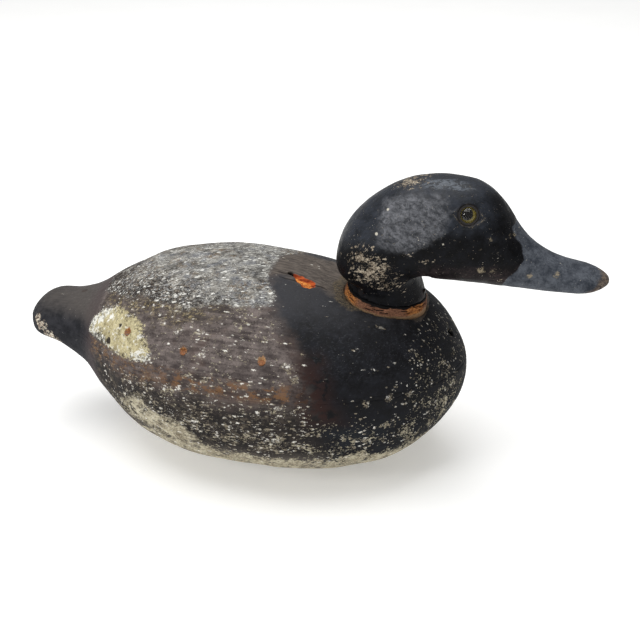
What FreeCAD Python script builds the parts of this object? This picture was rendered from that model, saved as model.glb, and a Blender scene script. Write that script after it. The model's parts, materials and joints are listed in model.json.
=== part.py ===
"""A carved wooden duck decoy that floats: a hollow two-part body, a separate head on a
dowel, glass eyes, and the ballast and line tie under the keel line.

Frame: X points forwards to the bill, Z points up. The origin is the centre of the
ballast's underside, which is the face that the decoy stands on. Millimetres.
"""
import FreeCAD, Part
import math
import os

V = FreeCAD.Vector
OUT = "parts"

# ---- Driving dimensions ---------------------------------------------------------------
TAIL_X = -143.5
BREAST_X = 140.0
BODY_BOTTOM = 8.0  # the flat underside of the body, one ballast thickness up
SEAM_Z = 72.0  # where the upper and lower halves meet
BEAD_HEIGHT = 1.6  # the putty in the seam
BEAD_DEPTH = 3.5
BREAST_CAP = 50.0  # length over which the breast rounds off
TAIL_CAP = 16.0  # length over which the tail tip rounds off
LOWER_ROUNDNESS = 2.9  # superellipse power of the body's cross-section below its widest line

HOLLOW_RADII = V(66, 50, 42)
HOLLOW_MIDDLE = V(-15, 0, 66)

NECK_X = 88.5  # where the neck axis meets the seat
SEAT_Z = 103.0
NECK_TILT = 7.5  # degrees, leaning forwards
NECK_R = 23.0  # where the neck meets the putty
FOOT_R = 21.4  # the part of the neck that stands inside the putty
SEAT_CLEARANCE = 0.3
FILLER_R = 25.1  # outer radius of the putty at the body's surface
FILLER_TOP = 9.2  # height of the putty above the seat

THROAT_X = 119.0  # the inner corner between neck and chin
THROAT_Z = 124.5
BILL_REACH = 98.0  # from the throat to the tip of the bill
WIDEST = 0.45  # height of the widest line, as a share of the head's depth
BILL_CAP = 17.0  # length over which the bill's tip rounds off

DOWEL_R = 8.0
DOWEL_UP = 34.0  # into the head
DOWEL_DOWN = 24.0  # into the body
RUNNING = 0.06  # radial clearance where the dowel turns in the body
SNUG = 0.04  # clearance round a nail, screw or plug that is driven home
SCREW_R = 2.4
SCREW_LENGTH = 36.0
WASHER_R = 10.0
WASHER_T = 2.0
WASHER_GAP = 0.1  # between dowel, washer and screw head
SCREW_HEAD_T = 2.6

EYE_R = 5.0
EYE_OPENING_R = 4.5  # the putty laps over the rim of the glass
EYE_AHEAD = 18.3  # of the throat
EYE_Z = 172.3
EYE_FACES = (0.18, 0.88, 0.40)  # on the left side; the right eye is its mirror image
SOCKET_R = 5.7
SOCKET_DEPTH = 6.0

BALLAST_LENGTH = 90.0
BALLAST_WIDTH = 30.0
STAPLE_X = 72.0
WIRE_R = 1.2
STAPLE_SPAN = 4.4  # from the middle of the staple to the middle of a leg
STAPLE_DEPTH = 14.0  # how far the legs go into the wood
RING_R = 10.0  # to the middle of the ring's wire
RING_Z = 6.2

FLANK_NAIL_X = (-56.0, -16.0, 31.0)
FLANK_NAIL_Z = 91.0
NAIL_R = 1.0
NAIL_HEAD_R = 2.2
NAIL_HEAD_T = 0.8
SEAM_NAIL_LENGTH = 42.0
END_NAIL_LENGTH = 24.0  # through the thinner wood of breast and tail
BALLAST_NAIL_LENGTH = 20.0
NECK_NAIL_LENGTH = 17.0

# ---- Shape tables: (x, value) ---------------------------------------------------------
BODY_TOP = [(-143, 83), (-122, 84), (-110, 86.5), (-102, 89.5), (-82, 102), (-50, 117), (-10, 122), (30, 118.5),
            (62, 111), (90, 108.3), (118, 105.5), (140, 101)]
BODY_UNDER = [(-143, 61.5), (-122, 57), (-102, 45), (-82, 30), (-50, 12.5), (-15, 6.5), (65, 6.5), (90, 11),
              (118, 17), (140, 21)]
BODY_WIDEST_Z = [(-143, 69.5), (-102, 68), (-50, 61), (0, 57), (60, 55), (100, 57), (140, 64)]
BODY_ROUNDNESS = [(-143, 2.1), (30, 2.1), (90, 2.7), (140, 2.5)]  # the same power above that line
BODY_HALF_WIDTH = [(-143, 24), (-122, 25), (-102, 29.5), (-82, 45), (-50, 66), (-10, 78.5), (30, 81),
                   (62, 75), (90, 64), (118, 54), (140, 42)]

# Head sections that fan about the throat: (degrees above straight forwards, inner, outer, half width)
SKULL = [(180, 10.5, 58.5, 24.6), (165, 8.5, 60.8, 27.0), (150, 6.5, 60.8, 28.4), (135, 4.8, 60.4, 28.8),
         (120, 3.3, 60.4, 28.5), (105, 2.0, 61.2, 27.6), (90, 1.0, 62.0, 26.3)]
# Face and bill, by distance ahead of the throat, heights above the throat
FACE_TOP = [(0, 62), (10, 62), (20, 60.5), (30, 54.8), (40, 43.4), (48, 32.6), (60, 22.8), (72, 18), (84, 15.4),
            (98, 13)]
FACE_UNDER = [(0, 1.0), (20, 0.5), (40, -0.5), (60, -0.5), (84, 1.0), (98, 3.5)]
FACE_HALF_WIDTH = [(0, 26.3), (10, 25.4), (20, 23.8), (30, 21), (40, 17.5), (48, 15), (60, 13.6), (72, 13.8),
                   (84, 14.8), (98, 15)]


# ---- Helpers --------------------------------------------------------------------------
def profile(points):
    """A smooth curve through (x, value) points that never overshoots them."""
    xs = [float(p[0]) for p in points]
    ys = [float(p[1]) for p in points]
    slopes = [(ys[i + 1] - ys[i]) / (xs[i + 1] - xs[i]) for i in range(len(xs) - 1)]
    tangents = [slopes[0]]
    for before, after in zip(slopes, slopes[1:]):
        level = before * after <= 0
        tangents.append(0.0 if level else 2 * before * after / (before + after))
    tangents.append(slopes[-1])

    def value(x):
        x = min(max(x, xs[0]), xs[-1])
        i = max(j for j in range(len(xs) - 1) if xs[j] <= x)
        span = xs[i + 1] - xs[i]
        t = (x - xs[i]) / span
        rise = ys[i + 1] - ys[i]
        start, end = tangents[i] * span, tangents[i + 1] * span
        return ys[i] + start * t + (3 * rise - 2 * start - end) * t**2 + (start + end - 2 * rise) * t**3

    return value


def cap(x, end, length):
    """Falls from 1 to 0 along a quarter ellipse over the last length before end."""
    into = max(0.0, 1 - abs(end - x) / length)
    return math.sqrt(max(0.0, 1 - into**2))


def power(value, exponent):
    return math.copysign(abs(value) ** exponent, value)


def oval(origin, across, along, low, widest, high, half_width, low_power, high_power, count=28):
    """A closed smooth wire: a superellipse whose two halves meet at its widest line."""
    points = []
    for k in range(count):
        t = 2 * math.pi * k / count
        c, s = math.cos(t), math.sin(t)
        n = high_power if s >= 0 else low_power
        reach = high - widest if s >= 0 else widest - low
        offset = across * (half_width * power(c, 2 / n)) + along * (widest + reach * power(s, 2 / n))
        points.append(origin + offset)
    curve = Part.BSplineCurve()
    curve.interpolate(Points=points, PeriodicFlag=True, Parameters=[k / count for k in range(count + 1)])
    return Part.Wire(curve.toShape())


def wide_slab(low, high):
    """A slab between two heights that reaches well past the body on every side."""
    length, width = 600.0, 300.0
    return Part.makeBox(length, width, high - low, V(-length / 2, -width / 2, low))


def drill(start, direction, radius, length):
    return Part.makeCylinder(radius, length, start, direction)


def unit(x, y, z):
    v = V(x, y, z)
    v.normalize()
    return v


def mirrored(shape):
    """The same piece on the right side: reflected in the plane y = 0."""
    return shape.mirror(V(0, 0, 0), V(0, 1, 0))


def turned(origin, direction, outline):
    """A solid of revolution from (radius, height) corners that start and end on the axis."""
    corners = [V(r, 0, h) for r, h in outline]
    face = Part.Face(Part.makePolygon(corners + corners[:1]))
    solid = face.revolve(V(0, 0, 0), V(0, 0, 1), 360)
    solid.Placement = FreeCAD.Placement(origin, FreeCAD.Rotation(V(0, 0, 1), direction))
    return solid


def nail(head, direction, length):
    """A round wire nail driven along direction, its flat head starting at head."""
    point = length - 2.5 * NAIL_R
    return turned(head, direction, [
        (0, 0), (NAIL_HEAD_R, 0), (NAIL_HEAD_R, NAIL_HEAD_T), (NAIL_R, NAIL_HEAD_T),
        (NAIL_R, point), (0.3, length), (0, length),
    ])


def nail_hole(head, direction, length, sink):
    """The space that a nail takes up, open for a distance sink behind its head."""
    floor = NAIL_HEAD_T + SNUG
    bottom = length + SNUG
    return turned(head, direction, [
        (0, -sink), (NAIL_HEAD_R + SNUG, -sink), (NAIL_HEAD_R + SNUG, floor), (NAIL_R + SNUG, floor),
        (NAIL_R + SNUG, bottom), (0, bottom),
    ])


def save(name, shape):
    shape.exportStep(os.path.join(OUT, name + ".step"))


NECK_AXIS = V(math.sin(math.radians(NECK_TILT)), 0, math.cos(math.radians(NECK_TILT)))
SEAT = V(NECK_X, 0, SEAT_Z)


def neck_cylinder(radius, start, end):
    """A cylinder on the neck axis, between two heights above the seat."""
    return Part.makeCylinder(radius, end - start, SEAT + NECK_AXIS * start, NECK_AXIS)


# ---- Body -----------------------------------------------------------------------------
def end_closing(x, inset=0.0):
    """How far the body's section has closed at x: 1 along its length, 0 at either end."""
    return cap(x, BREAST_X - inset, BREAST_CAP) * cap(x, TAIL_X + inset, TAIL_CAP)


def body_form(inset=0.0):
    """The outer form of the whole body, flat underneath, or the same form a distance further in."""
    top, under = profile(BODY_TOP), profile(BODY_UNDER)
    widest, half_width = profile(BODY_WIDEST_Z), profile(BODY_HALF_WIDTH)
    roundness = profile(BODY_ROUNDNESS)
    middle, half = (BREAST_X + TAIL_X) / 2, (BREAST_X - TAIL_X) / 2 - inset
    wires = []
    steps, first = 34, 2.5
    for k in range(steps + 1):
        angle = math.radians(first + (180 - 2 * first) * k / steps)
        x = middle - half * math.cos(angle)
        close = end_closing(x, inset)
        mid = widest(x)
        wires.append(oval(
            V(x, 0, 0), V(0, 1, 0), V(0, 0, 1),
            mid - (mid - under(x) - inset) * close, mid, mid + (top(x) - inset - mid) * close,
            (half_width(x) - inset) * close, LOWER_ROUNDNESS, roundness(x),
        ))
    body = Part.makeLoft(wires, True, False)
    return body.cut(wide_slab(-BODY_BOTTOM, BODY_BOTTOM))


def cavity():
    """The hollow chopped out of both halves: one smooth egg, well clear of the neck."""
    stretch = FreeCAD.Matrix()
    stretch.scale(HOLLOW_RADII)
    egg = Part.makeSphere(1.0).transformGeometry(stretch)
    egg.translate(HOLLOW_MIDDLE)
    return egg


def seam_bead(envelope):
    """White-lead putty in the rebate round the outer edge of the seam."""
    slab = wide_slab(SEAM_Z - BEAD_HEIGHT / 2, SEAM_Z + BEAD_HEIGHT / 2)
    return envelope.common(slab).cut(body_form(BEAD_DEPTH))


def neck_putty():
    """The putty fillet round the foot of the neck, standing in the seat pocket and proud of the body."""
    bore = FOOT_R + SEAT_CLEARANCE
    return turned(SEAT, NECK_AXIS, [
        (bore, SNUG), (FILLER_R - SNUG, SNUG), (FILLER_R - SNUG, 5.0), (FILLER_R - 0.9, FILLER_TOP - 1.0),
        (FILLER_R - 2.0, FILLER_TOP), (bore, FILLER_TOP),
    ])


def body_side(x, z):
    """Half the width of the body at x, at a height z above its widest line."""
    close = end_closing(x)
    mid = profile(BODY_WIDEST_Z)(x)
    reach = (profile(BODY_TOP)(x) - mid) * close
    rise = (z - mid) / reach
    n = profile(BODY_ROUNDNESS)(x)
    return profile(BODY_HALF_WIDTH)(x) * close * (1 - rise**n) ** (1 / n)


def seam_nail_places():
    """(head point, direction, length) of each nail that joins the halves: the flanks, breast and tail."""
    sunk = 0.7
    places = []
    for side in (-1, 1):
        for x in FLANK_NAIL_X:
            y = body_side(x, FLANK_NAIL_Z) - sunk
            places.append((V(x, side * y, FLANK_NAIL_Z), unit(0, -side * 0.30, -1), SEAM_NAIL_LENGTH))
    places.append((V(127.5, 0, 84.0), unit(-0.35, 0, -1), END_NAIL_LENGTH))
    places.append((V(-108.0, 0, 86.5), V(0, 0, -1), END_NAIL_LENGTH))
    return places


def staple_wire(radius):
    """A square-shouldered wire staple, legs up into the wood, standing in the plane y = 0."""
    crown_z = RING_Z - 2 * WIRE_R - 0.5
    leg_top = BODY_BOTTOM + STAPLE_DEPTH
    legs = [
        Part.makeCylinder(radius, leg_top - crown_z, V(STAPLE_X + side * STAPLE_SPAN, 0, crown_z), V(0, 0, 1))
        for side in (-1, 1)
    ]
    crown = Part.makeCylinder(radius, 2 * STAPLE_SPAN, V(STAPLE_X - STAPLE_SPAN, 0, crown_z), V(1, 0, 0))
    corners = [Part.makeSphere(radius, V(STAPLE_X + side * STAPLE_SPAN, 0, crown_z)) for side in (-1, 1)]
    return legs[0].fuse([legs[1], crown] + corners).removeSplitter()


def ballast():
    """The lead pad, rounded at both ends, with countersinks for its nails."""
    half, r = BALLAST_LENGTH / 2, BALLAST_WIDTH / 2
    bar = Part.makeBox(2 * (half - r), BALLAST_WIDTH, BODY_BOTTOM, V(-(half - r), -r, 0))
    ends = [Part.makeCylinder(r, BODY_BOTTOM, V(side * (half - r), 0, 0)) for side in (-1, 1)]
    pad = bar.fuse(ends).removeSplitter()
    lower_edges = [e for e in pad.Edges if abs(e.BoundBox.ZMax) < 1e-6]
    return pad.makeChamfer(1.0, lower_edges)


def ballast_nail_places():
    sunk = 0.6
    return [(V(x, y, sunk), V(0, 0, 1), BALLAST_NAIL_LENGTH) for x in (-34, 34) for y in (-6, 6)]


# ---- Head -----------------------------------------------------------------------------
def head_form():
    """Neck, skull, face and bill as one carved block."""
    side = V(0, 1, 0)
    back = V(-math.cos(math.radians(NECK_TILT)), 0, math.sin(math.radians(NECK_TILT)))
    wires = []
    shoulder = FILLER_TOP + SEAT_CLEARANCE
    for height, radius in ((shoulder, NECK_R), (shoulder + 4.0, NECK_R - 1.0)):
        centre = SEAT + NECK_AXIS * height
        wires.append(oval(centre, side, back, -radius, 0, radius, radius, 2.0, 2.0))
    throat = V(THROAT_X, 0, THROAT_Z)
    for degrees, inner, outer, half_width in SKULL:
        a = math.radians(degrees)
        along = V(math.cos(a), 0, math.sin(a))
        widest = inner + WIDEST * (outer - inner)
        wires.append(oval(throat, side, along, inner, widest, outer, half_width, 2.15, 2.1))
    top, under, width = profile(FACE_TOP), profile(FACE_UNDER), profile(FACE_HALF_WIDTH)
    places = [8, 16, 24, 32, 40, 48, 56, 64, 72]
    start = BILL_REACH - BILL_CAP
    places += [start + BILL_CAP * math.sin(math.radians(a)) for a in (0, 20, 40, 55, 68, 78, 85)]
    for ahead in places:
        close = cap(ahead, BILL_REACH, BILL_CAP)
        low, high = under(ahead), top(ahead)
        widest = low + WIDEST * (high - low)
        wires.append(oval(
            throat + V(ahead, 0, 0), side, V(0, 0, 1),
            widest - (widest - low) * close, widest, widest + (high - widest) * close,
            width(ahead) * close, 2.15, 2.1,
        ))
    form = Part.makeLoft(wires, True, False)
    foot = neck_cylinder(FOOT_R, 0, shoulder + 3.0)
    return form.fuse(foot)


def neck_nail_places():
    """(head point, direction, length) of the nails through the neck that lock the dowel into the head."""
    height = FILLER_TOP + 3.4
    start = NECK_R - 0.4
    places = []
    for degrees in (0, 125, 235):
        a = math.radians(degrees)
        forwards = V(NECK_AXIS.z, 0, -NECK_AXIS.x)
        out = forwards * math.cos(a) + V(0, 1, 0) * math.sin(a)
        places.append((SEAT + NECK_AXIS * height + out * start, out * -1, NECK_NAIL_LENGTH))
    return places


def screw_shape(grow=0.0):
    """The wood screw that holds the dowel down: head below the washer, thread up in the dowel."""
    head_top = -DOWEL_DOWN - WASHER_T - WASHER_GAP
    shank = neck_cylinder(SCREW_R + grow, head_top, head_top + SCREW_LENGTH)
    dome = neck_cylinder(2 * SCREW_R + grow, head_top - SCREW_HEAD_T - grow, head_top)
    slot = Part.makeBox(6 * SCREW_R, 1.0, 1.2, V(-3 * SCREW_R, -0.5, 0))
    slot.rotate(V(0, 0, 0), V(0, 1, 0), NECK_TILT)
    slot.translate(SEAT + NECK_AXIS * (head_top - SCREW_HEAD_T))
    screw = shank.fuse(dome).removeSplitter()
    return screw if grow else screw.cut(slot)


# ---- Eyes -----------------------------------------------------------------------------
def eye_place():
    """Where the left eye's axis leaves the wood, and the way it looks."""
    low, high = profile(FACE_UNDER)(EYE_AHEAD), profile(FACE_TOP)(EYE_AHEAD)
    widest = low + WIDEST * (high - low)
    rise = (EYE_Z - THROAT_Z - widest) / (high - widest)
    side = profile(FACE_HALF_WIDTH)(EYE_AHEAD) * (1 - rise**2.1) ** (1 / 2.1)
    return V(THROAT_X + EYE_AHEAD, side, EYE_Z), unit(*EYE_FACES)


def eye_parts():
    """The left eye, as name to shape, built along its own axis: glass, iris, pupil, wire and putty."""
    at, out = eye_place()
    layer, pupil_r, bevel, gap = 0.5, 3.7, 0.3, 0.04
    plane = -2.2  # the flat back of the glass, below the wood's surface
    rise = 3.4

    def disc(radius, low, high):
        return drill(at + out * low, out, radius, high - low)

    ball_r = (EYE_R**2 + rise**2) / (2 * rise)
    centre = at + out * (plane + rise - ball_r)
    lens = Part.makeSphere(ball_r, centre).common(disc(EYE_R, plane, plane + rise + 1))
    face = plane - gap
    iris = disc(EYE_R - bevel, plane - layer, face).cut(disc(pupil_r, plane - layer, face))
    pupil = disc(pupil_r, plane - layer, face)
    wire = disc(0.5, plane - layer - 11.0, plane - layer)
    lap = plane + 1.9  # the top of the putty
    putty = disc(SOCKET_R - SNUG, -SOCKET_DEPTH, lap)
    glass_space = Part.makeSphere(ball_r + SNUG, centre).common(disc(EYE_R + SNUG, plane - SNUG, lap + 2))
    openings = [
        disc(EYE_R + SNUG, plane - layer, plane),
        glass_space,
        disc(EYE_OPENING_R, plane, lap + 1),
        disc(0.5 + SNUG, -SOCKET_DEPTH - 1, plane),
    ]
    for opening in openings:
        putty = putty.cut(opening)
    return {"eye_glass": lens, "eye_iris": iris, "eye_pupil": pupil, "eye_wire": wire, "eye_putty": putty}


def eye_socket():
    at, out = eye_place()
    hole = drill(at - out * SOCKET_DEPTH, out, SOCKET_R, SOCKET_DEPTH + 8)
    wire_hole = drill(at - out * 14.0, out, 0.5 + SNUG, 14.0)
    return hole.fuse(wire_hole)


# ---- Build ----------------------------------------------------------------------------
def main():
    os.makedirs(OUT, exist_ok=True)

    envelope = body_form()
    bead = seam_bead(envelope)
    seat_pocket = neck_cylinder(FILLER_R, 0, 30)

    seam_nails = [nail(*place) for place in seam_nail_places()]
    seam_holes = [nail_hole(*place, sink=8.0) for place in seam_nail_places()]
    ballast_nails = [nail(*place) for place in ballast_nail_places()]
    ballast_holes = [nail_hole(*place, sink=2.0) for place in ballast_nail_places()]

    bore = neck_cylinder(DOWEL_R + RUNNING, -DOWEL_DOWN, 1)
    washer_well = neck_cylinder(WASHER_R + 0.5, -DOWEL_DOWN - 60, -DOWEL_DOWN)
    top_half = wide_slab(SEAM_Z, 3 * SEAM_Z)
    upper = envelope.common(top_half)
    for tool in [cavity(), bead, seat_pocket, bore, washer_well] + seam_holes:
        upper = upper.cut(tool)
    save("body_upper", upper)
    lower = envelope.cut(top_half)
    for tool in [cavity(), bead, staple_wire(WIRE_R + SNUG)] + seam_holes + ballast_holes:
        lower = lower.cut(tool)
    save("body_lower", lower)
    for tool in seam_holes:
        bead = bead.cut(tool)
    save("seam_filler", bead)
    save("seam_nails", Part.makeCompound(seam_nails))
    save("neck_filler", neck_putty())

    save("ballast_weight", ballast().cut(ballast_holes))
    save("ballast_nails", Part.makeCompound(ballast_nails))
    save("line_staple", staple_wire(WIRE_R))
    ring = Part.makeTorus(RING_R, WIRE_R, V(STAPLE_X - RING_R, 0, RING_Z), V(0, 0, 1))
    save("line_ring", ring)

    dowel = neck_cylinder(DOWEL_R, -DOWEL_DOWN, DOWEL_UP)
    neck_nails = [nail(*place) for place in neck_nail_places()]
    neck_holes = [nail_hole(*place, sink=8.0) for place in neck_nail_places()]
    socket = eye_socket()
    head = head_form().cut(neck_cylinder(DOWEL_R + SNUG, -1, DOWEL_UP + SNUG))
    for tool in [socket, mirrored(socket)] + neck_holes:
        head = head.cut(tool)
    save("head", head)
    for tool in neck_holes + [screw_shape(SNUG)]:
        dowel = dowel.cut(tool)
    save("neck_dowel", dowel)
    save("neck_nails", Part.makeCompound(neck_nails))
    save("head_screw", screw_shape())
    washer_top = -DOWEL_DOWN - 0.8 * WASHER_GAP
    washer = neck_cylinder(WASHER_R, washer_top - WASHER_T, washer_top)
    save("head_washer", washer.cut(neck_cylinder(SCREW_R + 0.2, -DOWEL_DOWN - 10, 0)))

    for name, shape in eye_parts().items():
        save(name + "_left", shape)
        save(name + "_right", mirrored(shape))


main()
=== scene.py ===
"""Looks of the duck decoy: carved and worn wood, old layered paint, glass eyes, putty, lead and wire.

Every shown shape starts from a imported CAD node. Lengths inside this script are in millimetres,
in the same frame as the CAD part, unless a name ends in _m.
"""
import bmesh
import bpy
import json
import math
import numpy as np
from functools import partialmethod
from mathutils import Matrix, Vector


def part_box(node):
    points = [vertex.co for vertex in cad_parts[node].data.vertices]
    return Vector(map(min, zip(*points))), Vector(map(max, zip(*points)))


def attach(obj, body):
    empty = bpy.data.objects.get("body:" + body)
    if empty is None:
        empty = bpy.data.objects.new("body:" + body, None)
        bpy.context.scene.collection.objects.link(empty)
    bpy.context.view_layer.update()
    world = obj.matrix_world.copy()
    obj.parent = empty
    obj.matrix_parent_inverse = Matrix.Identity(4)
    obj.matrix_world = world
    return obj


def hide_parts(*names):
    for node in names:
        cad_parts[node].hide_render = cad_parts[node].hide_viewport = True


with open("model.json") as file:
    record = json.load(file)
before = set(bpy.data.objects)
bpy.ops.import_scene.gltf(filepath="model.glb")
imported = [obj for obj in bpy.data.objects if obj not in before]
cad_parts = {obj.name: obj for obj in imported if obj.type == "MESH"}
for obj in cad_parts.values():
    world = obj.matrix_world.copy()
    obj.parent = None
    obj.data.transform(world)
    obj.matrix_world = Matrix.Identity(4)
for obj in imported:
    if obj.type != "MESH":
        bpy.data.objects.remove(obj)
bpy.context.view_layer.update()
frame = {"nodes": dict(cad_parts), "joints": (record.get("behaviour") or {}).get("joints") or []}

MM = 1000.0
JOINTS = {joint["name"]: joint for joint in frame["joints"]}
NECK = np.array(JOINTS["head_turn"]["pos_m"]) * MM
NECK_AXIS = np.array(JOINTS["head_turn"]["axis"], float)
NECK_AXIS = NECK_AXIS / np.linalg.norm(NECK_AXIS)


def corners(node):
    low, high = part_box(node)
    return np.array(low) * MM, np.array(high) * MM


# ---- Noise ----
def noise(points, size, seed):
    """Gradient noise, about -1 to 1, with features of the given size."""
    rng = np.random.RandomState(seed)
    order = rng.permutation(256)
    slopes = rng.normal(size=(256, 3))
    slopes /= np.linalg.norm(slopes, axis=1)[:, None]
    q = points / size + 100.0
    cell = np.floor(q).astype(np.int64)
    inside = q - cell
    ease = inside**3 * (inside * (inside * 6 - 15) + 10)
    total = np.zeros(len(q))
    for corner in np.ndindex(2, 2, 2):
        c = np.array(corner)
        key = order[(cell[:, 0] + c[0]) & 255]
        key = order[(key + cell[:, 1] + c[1]) & 255]
        key = order[(key + cell[:, 2] + c[2]) & 255]
        weight = np.prod(np.where(c == 1, ease, 1 - ease), axis=1)
        total += weight * np.einsum("ij,ij->i", slopes[key], inside - c)
    return total * 1.5


def fractal(points, size, seed, octaves=4):
    total = np.zeros(len(points))
    for k in range(octaves):
        total += noise(points, size / 2**k, seed + k) * 0.5**k
    return total


def smooth(low, high, value):
    t = np.clip((value - low) / (high - low), 0, 1)
    return t * t * (3 - 2 * t)


# ---- Mesh work ----
def add_object(name, data):
    obj = bpy.data.objects.new(name, data)
    bpy.context.scene.collection.objects.link(obj)
    return obj


def coordinates(mesh):
    co = np.empty(len(mesh.vertices) * 3)
    mesh.vertices.foreach_get("co", co)
    return co.reshape(-1, 3) * MM


def set_coordinates(mesh, points):
    mesh.vertices.foreach_set("co", (points / MM).ravel())
    mesh.update()


def raise_surface(mesh, points, lift):
    """Moves each point along its normal."""
    set_coordinates(mesh, points + normals(mesh) * lift[:, None])


def normals(mesh):
    n = np.empty(len(mesh.vertices) * 3)
    mesh.vertices.foreach_get("normal", n)
    return n.reshape(-1, 3)


def relax(mesh, rounds):
    """Evens out a mesh without shrinking it: pairs of opposite smoothing steps."""
    edges = np.empty(len(mesh.edges) * 2, np.int64)
    mesh.edges.foreach_get("vertices", edges)
    a, b = edges.reshape(-1, 2).T
    points = coordinates(mesh)
    count = np.bincount(a, minlength=len(points)) + np.bincount(b, minlength=len(points))
    for _ in range(rounds):
        for step in (0.6, -0.62):
            mean = np.empty_like(points)
            for axis in range(3):
                mean[:, axis] = np.bincount(a, points[b, axis], len(points))
                mean[:, axis] += np.bincount(b, points[a, axis], len(points))
            points += step * (mean / count[:, None] - points)
    set_coordinates(mesh, points)


def refined(node, name, grid, rounds, body):
    """A fine, even, closed copy of a CAD node, which it replaces."""
    obj = add_object(name, frame["nodes"][node].data.copy())
    remesh = obj.modifiers.new("even", "REMESH")
    remesh.mode = "VOXEL"
    remesh.voxel_size = grid / MM
    remesh.use_smooth_shade = True
    shown = obj.evaluated_get(bpy.context.evaluated_depsgraph_get())
    mesh = bpy.data.meshes.new_from_object(shown)
    obj.modifiers.clear()
    obj.data = mesh
    mesh.name = name
    relax(mesh, rounds)
    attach(obj, body)
    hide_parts(node)
    return obj


def divide(obj, centre, reach, times):
    """Splits the faces near a point, for details smaller than the even grid."""
    for _ in range(times):
        work = bmesh.new()
        work.from_mesh(obj.data)
        spot = Vector(centre) / MM
        near = [e for e in work.edges if all((v.co - spot).length < reach / MM for v in e.verts)]
        bmesh.ops.subdivide_edges(work, edges=near, cuts=1, use_grid_fill=True)
        bmesh.ops.triangulate(work, faces=[f for f in work.faces if len(f.verts) > 4])
        work.to_mesh(obj.data)
        work.free()
    for polygon in obj.data.polygons:
        polygon.use_smooth = True


def store(obj, fields):
    """Keeps one number per point under each name, for the materials to read."""
    for name, values in fields.items():
        layer = obj.data.attributes.new(name, "FLOAT", "POINT")
        layer.data.foreach_set("value", np.asarray(values, np.float32))


def paint(obj, material):
    obj.data.materials.clear()
    obj.data.materials.append(material)


def polygon_field(points, u, v):
    """Distance inside a closed outline, negative outside it."""
    distance = np.full(len(u), 1e9)
    inside = np.zeros(len(u), bool)
    for (ax, ay), (bx, by) in zip(points, points[1:] + points[:1]):
        ex, ey = bx - ax, by - ay
        t = np.clip(((u - ax) * ex + (v - ay) * ey) / (ex**2 + ey**2), 0, 1)
        distance = np.minimum(distance, np.hypot(u - ax - t * ex, v - ay - t * ey))
        crosses = ((ay > v) != (by > v)) & (u < ex * (v - ay) / (ey if ey else 1e-9) + ax)
        inside ^= crosses
    return np.where(inside, distance, -distance)


def ball_field(points, centre, radius):
    return radius - np.linalg.norm(points - np.array(centre, float), axis=1)


def nearest_ball(points, balls):
    """Distance inside the nearest of some balls, each given as x, y, z and radius."""
    field = np.full(len(points), -30.0)
    for x, y, z, radius in balls:
        field = np.maximum(field, ball_field(points, (x, y, z), radius))
    return field


def strip_distance(x, z, strip):
    """Distance from the middle of a flat oval seen from the side, 1 on its edge."""
    middle_x, middle_z, half_length, half_height = strip
    return np.hypot((x - middle_x) / half_length, (z - middle_z) / half_height)


def egg_distance(p, egg):
    """Distance from the middle of an egg, 1 on its surface."""
    middle, half = egg
    return np.linalg.norm((p - np.array(middle)) / np.array(half), axis=1)


def middle_of(node):
    low, high = corners(node)
    return (low + high) / 2


def from_neck(points):
    """(distance from the neck's axis, height along it above the seat)."""
    height = (points - NECK) @ NECK_AXIS
    return np.linalg.norm(points - NECK - height[:, None] * NECK_AXIS, axis=1), height


# ---- Materials ----
def rgb(red, green, blue):
    """A screen colour, 0 to 255, as a linear colour."""
    def linear(c):
        c /= 255
        return c / 12.92 if c <= 0.04045 else ((c + 0.055) / 1.055) ** 2.4
    return (linear(red), linear(green), linear(blue), 1.0)


SHADES = {  # the dark and the light colour of each coat
    "flank": ((58, 51, 50), (121, 111, 107)),
    "flank_low": ((16, 15, 16), (50, 45, 43)),
    "rubbed": ((70, 68, 68), (118, 110, 100)),
    "breast": ((9, 9, 11), (34, 35, 40)),
    "shoulder": ((70, 63, 58), (108, 99, 91)),
    "tail_top": ((58, 55, 53), (90, 85, 82)),
    "tail_side": ((26, 27, 31), (48, 48, 52)),
    "grey": ((44, 43, 43), (158, 156, 150)),
    "ochre": ((48, 43, 38), (168, 152, 112)),
    "primer": ((108, 98, 80), (198, 190, 166)),
    "white": ((142, 132, 114), (232, 229, 220)),
    "tail_chip": ((128, 104, 90), (214, 206, 188)),
    "patch": ((146, 135, 102), (204, 194, 156)),
    "pit": ((18, 16, 15), (80, 74, 66)),
    "ledge": ((92, 66, 46), (158, 132, 100)),
    "olive": ((46, 41, 34), (122, 108, 84)),
    "rust": ((110, 68, 40), (184, 134, 84)),
    "raw_wood": ((116, 46, 24), (184, 86, 40)),
    "head": ((7, 7, 8), (24, 25, 29)),
    # painted sheen: the blue-grey of the crown and nape where the light falls
    "crown": ((20, 24, 30), (46, 51, 61)),
    # painted sheen: the grey of the flat cheek where it catches the light
    "cheek": ((42, 44, 48), (122, 123, 128)),
    "jaw": ((22, 17, 18), (66, 54, 53)),
    "tan": ((88, 76, 64), (200, 187, 166)),
    "bill": ((46, 50, 57), (90, 94, 101)),
    "bill_tip": ((58, 44, 36), (128, 112, 94)),
    "socket": ((13, 11, 11), (46, 38, 32)),
}


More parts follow.
